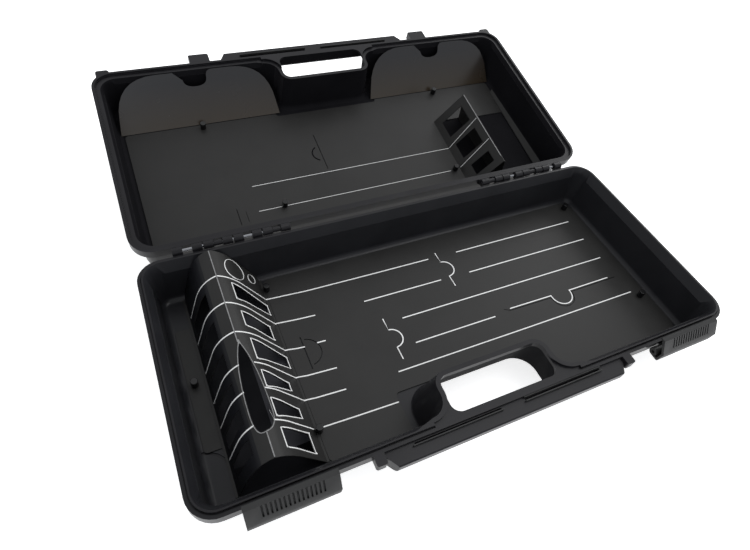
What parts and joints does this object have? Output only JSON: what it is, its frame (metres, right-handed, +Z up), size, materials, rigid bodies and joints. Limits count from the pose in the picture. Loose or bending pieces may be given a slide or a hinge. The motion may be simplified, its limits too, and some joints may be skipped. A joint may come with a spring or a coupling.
{
  "type": "chef knife case",
  "caption": "Hard hinged case for chef's knives, lying open, with two front latches, a split grip and folded black inserts with bridges that hold the blades.",
  "frame": {"origin": "centre of the base's flat resting face, on the table", "axes": "+Z up, +X along the length from the left latch to the right latch, +Y from the front towards the hinge"},
  "size_m": [0.53, 0.5151, 0.0971],
  "materials": {
    "shell": "fine grained black polypropylene",
    "latch": "satin black plastic",
    "sheet": "satin black sheet",
    "card": "glossy card",
    "stud": "black plastic",
    "steel": "bright steel"
  },
  "bodies": {
    "base": {"base_shell": "shell", "base_sheet": "sheet", "base_tab": "sheet", "base_bridge": "sheet", "base_stud_1": "stud", "base_stud_2": "stud", "base_stud_3": "stud", "base_stud_4": "stud", "base_stud_5": "stud", "left_hinge_pin": "steel", "right_hinge_pin": "steel", "left_latch_pin": "steel", "right_latch_pin": "steel"},
    "lid": {"lid_shell": "shell", "lid_sheet": "sheet", "lid_stud_1": "stud", "lid_stud_2": "stud", "lid_stud_3": "stud", "lid_stud_4": "stud"},
    "left_latch_lever": {"left_latch": "latch"},
    "right_latch_lever": {"right_latch": "latch"},
    "left_flap": {"left_card_flap": "card"},
    "right_flap": {"right_card_flap": "card"}
  },
  "joints": [
    {"name": "lid_hinge", "type": "hinge", "parent": "base", "child": "lid", "pos_m": [0, 0.1248, 0.0496], "axis": [1, 0, 0], "range_deg": [0, 169.44]},
    {"name": "left_latch_pivot", "type": "hinge", "parent": "base", "child": "left_latch_lever", "pos_m": [-0.195, -0.1245, 0.042], "axis": [1, 0, 0], "range_deg": [-10, 80]},
    {"name": "right_latch_pivot", "type": "hinge", "parent": "base", "child": "right_latch_lever", "pos_m": [0.195, -0.1245, 0.042], "axis": [1, 0, 0], "range_deg": [-10, 80]},
    {"name": "left_flap_crease", "type": "hinge", "parent": "lid", "child": "left_flap", "pos_m": [-0.158, 0.32445, 0.03941], "axis": [-1, 0, 0], "range_deg": [-50, 0]},
    {"name": "right_flap_crease", "type": "hinge", "parent": "lid", "child": "right_flap", "pos_m": [0.158, 0.32445, 0.03941], "axis": [-1, 0, 0], "range_deg": [-50, 0]}
  ]
}
